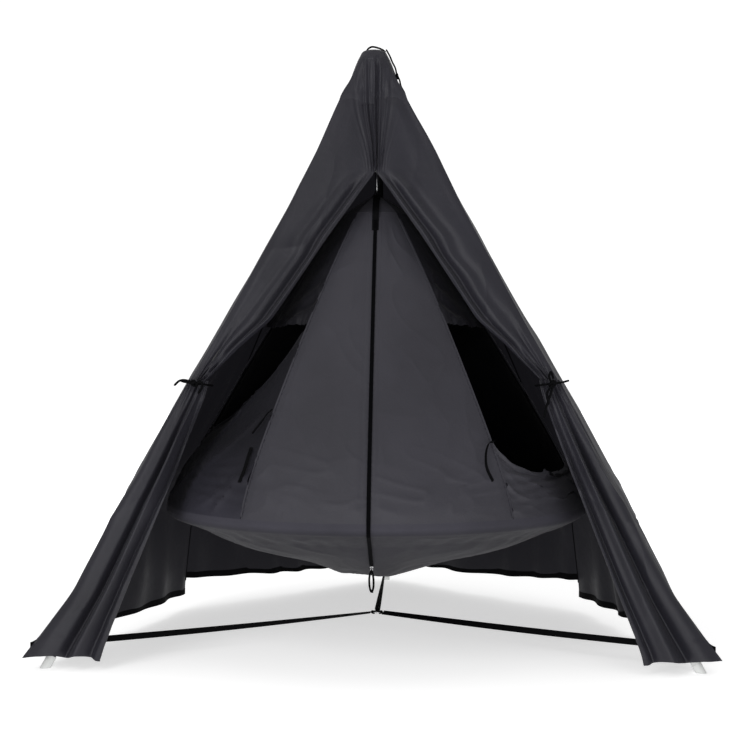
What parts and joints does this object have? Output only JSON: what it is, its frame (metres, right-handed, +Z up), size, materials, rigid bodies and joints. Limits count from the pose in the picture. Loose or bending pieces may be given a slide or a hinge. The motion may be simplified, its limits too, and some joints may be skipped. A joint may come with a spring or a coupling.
{
  "type": "teepee tent",
  "caption": "Teepee tent: satin fabric cover on a folding tripod, open at the front, with a round zipped bed pod hanging inside on a swivel and webbing straps across the base.",
  "frame": {"origin": "on the floor, under the middle of the bounding box", "axes": "+Z up, the doorway faces -Y, +X to the right when the doorway is seen from behind it (looking along +Y from the front)"},
  "size_m": [2.7948, 2.5413, 2.7445],
  "materials": {
    "stand_paint": "satin",
    "zinc_steel": "satin",
    "foot_plastic": "satin",
    "cover_fabric": "satin",
    "pod_fabric": "satin",
    "webbing": "matte",
    "cord": "matte",
    "zip_plastic": "matte"
  },
  "bodies": {
    "head": {"hub": "stand_paint", "hinge_bolts": "zinc_steel", "hinge_nuts": "zinc_steel", "eye_bolt": "zinc_steel", "eye_nut": "zinc_steel", "cover_cap": "cover_fabric", "cap_loop": "webbing", "cap_cord": "cord", "cover_front_left": "cover_fabric", "cover_front_right": "cover_fabric", "cover_near_left": "cover_fabric", "cover_far_left": "cover_fabric", "cover_far_right": "cover_fabric", "cover_near_right": "cover_fabric", "cover_hem": "webbing", "base_ring": "zinc_steel", "base_strap_left": "webbing", "base_strap_right": "webbing", "base_strap_back": "webbing"},
    "leg_left": {"left_leg_fork": "stand_paint", "left_upper_tube": "stand_paint", "left_lower_tube": "stand_paint", "left_foot": "foot_plastic", "left_strap_keeper": "webbing", "door_flap_left": "cover_fabric", "door_tie_left": "cord"},
    "leg_right": {"right_leg_fork": "stand_paint", "right_upper_tube": "stand_paint", "right_lower_tube": "stand_paint", "right_foot": "foot_plastic", "right_strap_keeper": "webbing", "door_flap_right": "cover_fabric", "door_tie_right": "cord"},
    "leg_back": {"back_leg_fork": "stand_paint", "back_upper_tube": "stand_paint", "back_lower_tube": "stand_paint", "back_foot": "foot_plastic", "back_strap_keeper": "webbing"},
    "button_left": {"left_snap_button": "zinc_steel"},
    "button_right": {"right_snap_button": "zinc_steel"},
    "button_back": {"back_snap_button": "zinc_steel"},
    "swing_yoke": {"swing_pin": "zinc_steel", "yoke": "stand_paint"},
    "strap": {"hanging_strap": "webbing", "swivel_eye": "zinc_steel"},
    "pod": {"carabiner": "zinc_steel", "gate_pin": "zinc_steel", "pod_crown": "webbing", "pod_hoop": "stand_paint", "pod_front": "pod_fabric", "pod_sides": "pod_fabric", "pod_back": "pod_fabric", "pod_webbing": "webbing", "pod_bowl": "pod_fabric", "mattress": "pod_fabric", "pod_ties": "webbing", "zip_tape": "zip_plastic"},
    "gate": {"carabiner_gate": "zinc_steel"},
    "slider": {"zip_slider": "zinc_steel"},
    "pull": {"zip_pull": "cord"}
  },
  "joints": [
    {"name": "leg_left_fold", "type": "hinge", "parent": "head", "child": "leg_left", "pos_m": [-0.04234, -0.32628, 2.6], "axis": [0.5, -0.866, 0], "range_deg": [0, 2], "deforming": ["base_strap_left"]},
    {"name": "leg_right_fold", "type": "hinge", "parent": "head", "child": "leg_right", "pos_m": [0.04234, -0.32628, 2.6], "axis": [0.5, 0.866, 0], "range_deg": [0, 2], "deforming": ["base_strap_right"]},
    {"name": "leg_back_fold", "type": "hinge", "parent": "head", "child": "leg_back", "pos_m": [0, -0.25295, 2.6], "axis": [-1, 0, 0], "range_deg": [0, 2], "deforming": ["base_strap_back"]},
    {"name": "button_left_press", "type": "slide", "parent": "leg_left", "child": "button_left", "axis": [-0.75, -0.433, 0.5], "range_m": [0, 0.0045], "stiffness_N_per_m": 600, "springref_m": -0.001},
    {"name": "button_right_press", "type": "slide", "parent": "leg_right", "child": "button_right", "axis": [0.75, -0.433, 0.5], "range_m": [0, 0.0045], "stiffness_N_per_m": 600, "springref_m": -0.001},
    {"name": "button_back_press", "type": "slide", "parent": "leg_back", "child": "button_back", "axis": [0, 0.866, 0.5], "range_m": [0, 0.0045], "stiffness_N_per_m": 600, "springref_m": -0.001},
    {"name": "pod_swing_side", "type": "hinge", "parent": "head", "child": "swing_yoke", "pos_m": [0, -0.30184, 2.585], "axis": [0, 1, 0], "range_deg": [-1.5, 1.5]},
    {"name": "pod_swing_front", "type": "hinge", "parent": "swing_yoke", "child": "strap", "pos_m": [0, -0.30184, 2.505], "axis": [1, 0, 0], "range_deg": [-3, 1.5]},
    {"name": "pod_spin", "type": "hinge", "parent": "strap", "child": "pod", "pos_m": [0, -0.30184, 2.15], "axis": [0, 0, 1], "continuous": true},
    {"name": "gate_open", "type": "hinge", "parent": "pod", "child": "gate", "pos_m": [0, -0.28184, 2.079], "axis": [1, 0, 0], "range_deg": [0, 25], "stiffness_Nm_per_rad": 0.05, "springref_deg": -17.19},
    {"name": "zip_slide", "type": "hinge", "parent": "pod", "child": "slider", "pos_m": [0, -0.30184, 1.80242], "axis": [1, 0, 0], "range_deg": [-8, 0]},
    {"name": "zip_pull_swing", "type": "hinge", "parent": "slider", "child": "pull", "pos_m": [0, -0.94517, 0.39727], "axis": [1, 0, 0], "range_deg": [-25, 25]}
  ]
}
